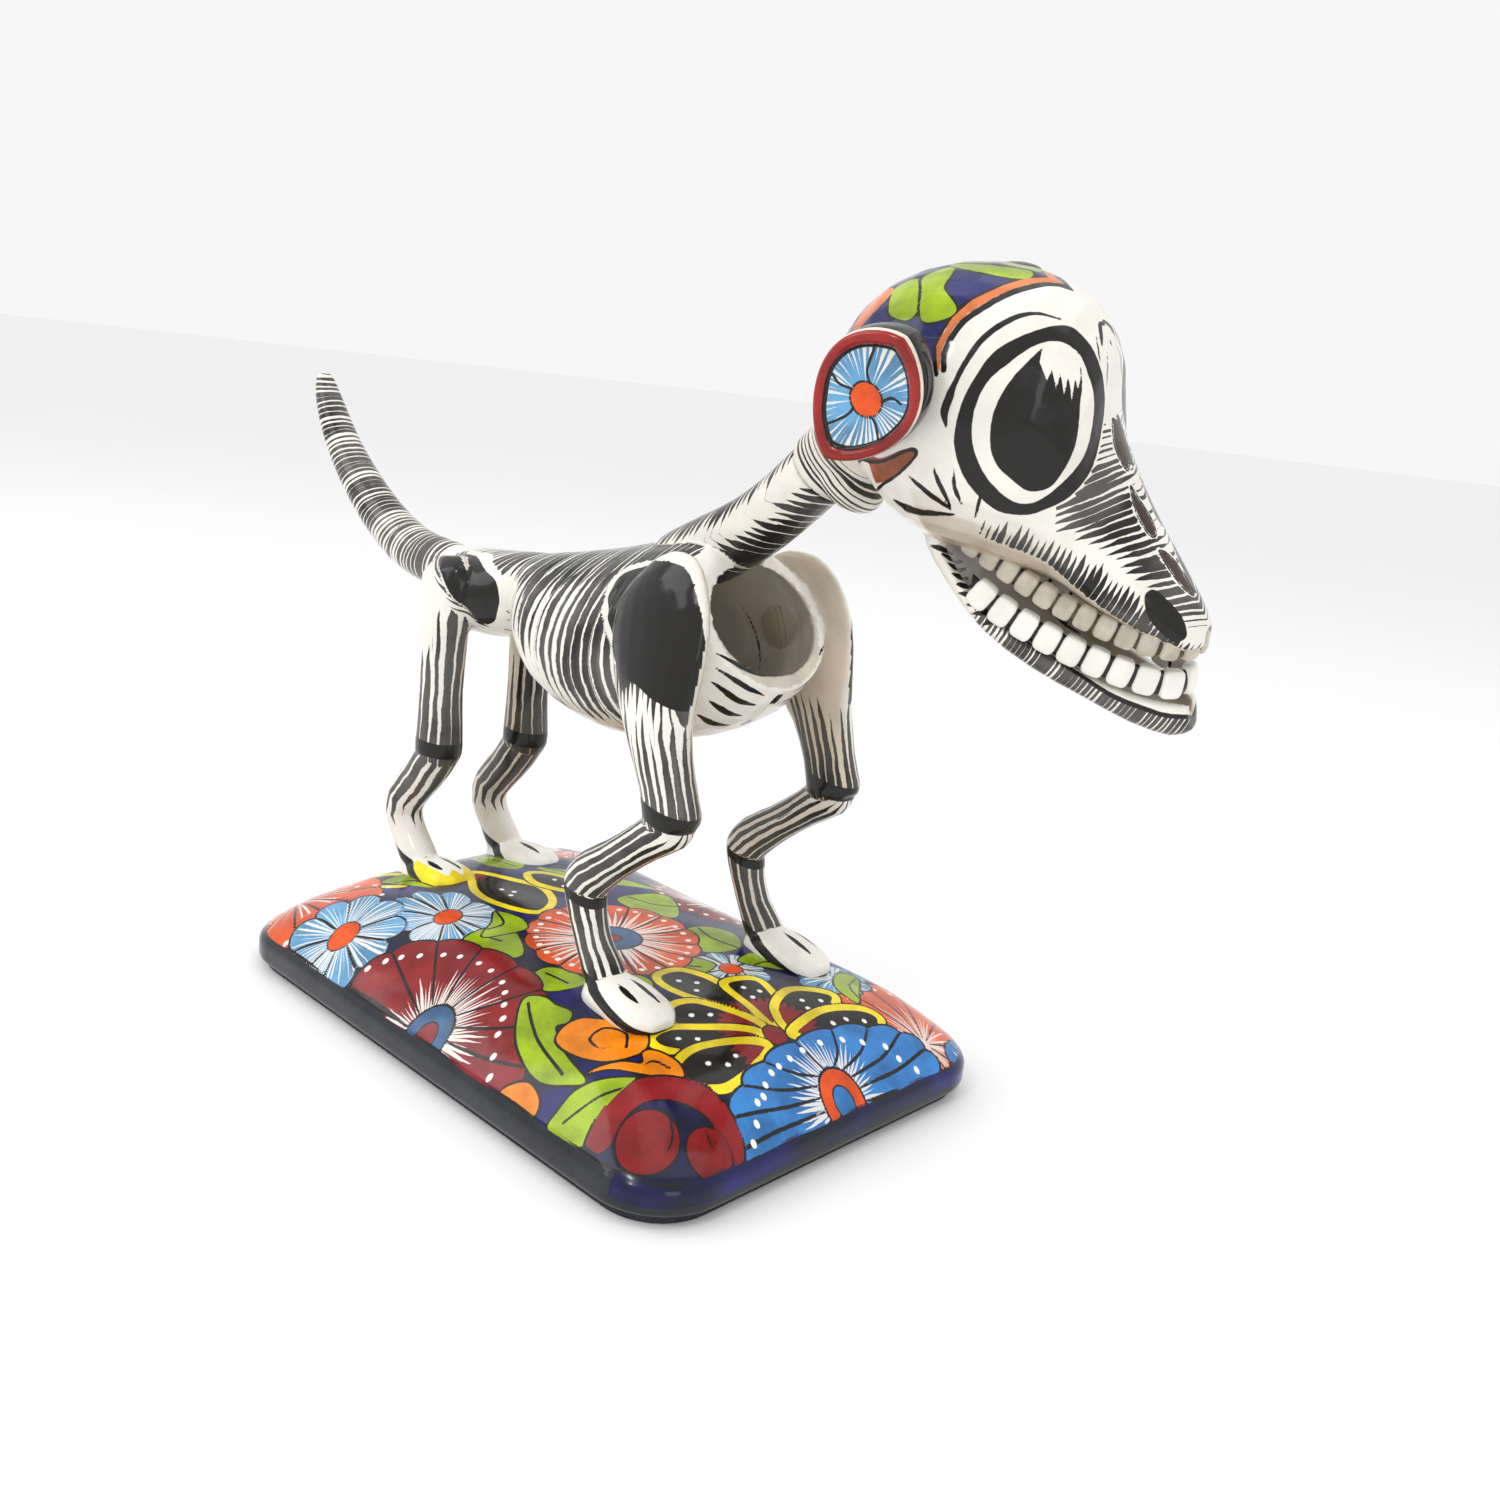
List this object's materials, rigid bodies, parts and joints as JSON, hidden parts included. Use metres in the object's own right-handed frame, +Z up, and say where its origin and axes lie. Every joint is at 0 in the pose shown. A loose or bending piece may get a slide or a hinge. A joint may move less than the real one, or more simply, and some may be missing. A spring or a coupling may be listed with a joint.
{
  "type": "glazed ceramic skeleton dog figurine",
  "caption": "Hand-painted glazed clay skeleton dog on a crowned oblong plinth, with an open rib bowl, curling tail and a head that turns on the neck.",
  "frame": {"origin": "centre of the foot ring's underside, where the plinth stands", "axes": "+X the way the body faces, +Y the dog's left, +Z up"},
  "size_m": [0.4679, 0.19, 0.3204],
  "materials": {
    "bone_glaze": "warm white glaze with brushed black strokes",
    "plinth_glaze": "cobalt glaze with painted flowers",
    "plinth_foot": "dark glaze",
    "bare_clay": "unglazed clay",
    "ear_glaze": "red rim round a sky-blue flower",
    "tooth_glaze": "white glaze"
  },
  "bodies": {
    "figure": {"base_shell": "plinth_glaze", "foot_ring": "plinth_foot", "tail": "bone_glaze", "pelvis": "bone_glaze", "rib_cage": "bone_glaze", "neck": "bone_glaze", "neck_spigot": "bare_clay", "front_right_upper_leg": "bone_glaze", "front_right_forearm": "bone_glaze", "front_right_wrist": "bone_glaze", "front_right_paw": "bone_glaze", "front_left_upper_leg": "bone_glaze", "front_left_forearm": "bone_glaze", "front_left_wrist": "bone_glaze", "front_left_paw": "bone_glaze", "hind_right_thigh": "bone_glaze", "hind_right_shank": "bone_glaze", "hind_right_paw": "bone_glaze", "hind_left_thigh": "bone_glaze", "hind_left_shank": "bone_glaze", "hind_left_paw": "bone_glaze"},
    "head": {"neck_socket": "bone_glaze", "skull": "bone_glaze", "ear_right": "ear_glaze", "ear_left": "ear_glaze", "lower_jaw": "bone_glaze", "upper_teeth": "tooth_glaze", "lower_teeth": "tooth_glaze"}
  },
  "joints": [
    {"name": "head_turn", "type": "hinge", "parent": "figure", "child": "head", "pos_m": [0.088, 0, 0.243], "axis": [0.7547, 0, 0.6561], "range_deg": [-67, 23]}
  ]
}
